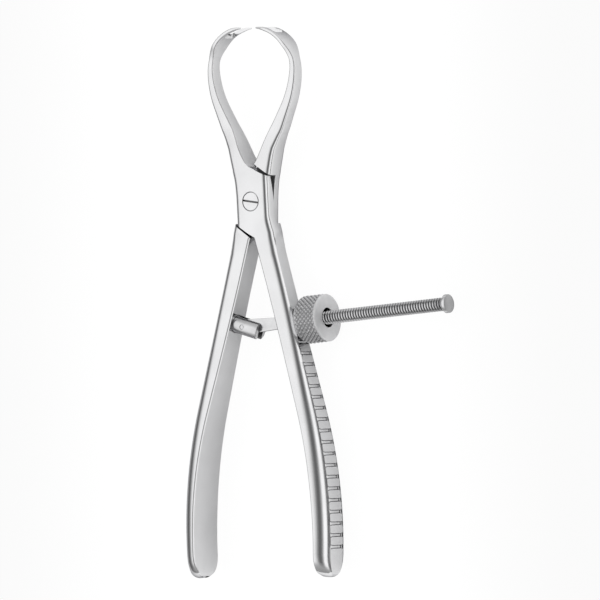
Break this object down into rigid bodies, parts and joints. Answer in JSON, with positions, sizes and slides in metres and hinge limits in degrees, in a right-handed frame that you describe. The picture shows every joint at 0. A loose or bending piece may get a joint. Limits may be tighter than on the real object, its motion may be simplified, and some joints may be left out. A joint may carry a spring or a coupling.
{
  "type": "patella forceps",
  "caption": "Bone-holding forceps with lap-jointed levers, ring-shaped forked jaws, grooved handles and a hinged threaded spindle with a knurled nut.",
  "frame": {"origin": "on the pivot axis, at the back face of the lap joint, where the pivot screw ends flush", "axes": "+Y along the instrument from the pivot towards the jaw tips, +Z along the pivot axis towards the slotted head of the pivot screw, +X towards the side where the spindle stands out. The levers open and close in the XY plane. The instrument lies flat, back face down."},
  "size_m": [0.1138, 0.1993, 0.0176],
  "materials": {
    "lever_steel": "satin polished stainless steel with soft bright edges",
    "screw_steel": "polished stainless steel, ground flush",
    "post_steel": "turned and polished stainless steel",
    "spindle_steel": "rolled thread, polished stainless steel",
    "nut_steel": "satin end face, diamond knurled rim"
  },
  "bodies": {
    "rear": {"rear_lever": "lever_steel", "pivot_screw": "screw_steel", "forked_post": "post_steel", "hinge_pin": "post_steel"},
    "front": {"front_lever": "lever_steel"},
    "spindle_arm": {"spindle": "spindle_steel", "end_button": "spindle_steel"},
    "washer": {"thrust_washer": "nut_steel"},
    "nut": {"knurled_nut": "nut_steel"}
  },
  "joints": [
    {"name": "lever_hinge", "type": "hinge", "parent": "rear", "child": "front", "pos_m": [0, 0, 0.0045], "axis": [0, 0, 1], "range_deg": [-4.5, 24]},
    {"name": "spindle_swing", "type": "hinge", "parent": "rear", "child": "spindle_arm", "pos_m": [-0.00594, -0.04527, 0.0045], "axis": [0, 0, 1], "range_deg": [-2.25, 12]},
    {"name": "washer_slide", "type": "slide", "parent": "spindle_arm", "child": "washer", "axis": [0.9969, 0.0785, 0], "range_m": [-0.00365, 0.01948]},
    {"name": "nut_spin", "type": "hinge", "parent": "washer", "child": "nut", "pos_m": [-0.00594, -0.04527, 0.0045], "axis": [0.9969, 0.0785, 0], "range_deg": [-1164, 6206]}
  ],
  "couplings": [
    {"joint": "spindle_swing", "follows": "lever_hinge", "ratio": 0.5},
    {"joint": "washer_slide", "follows": "lever_hinge", "m_per_rad": 0.0465},
    {"joint": "nut_spin", "follows": "lever_hinge", "ratio": 258.56}
  ]
}
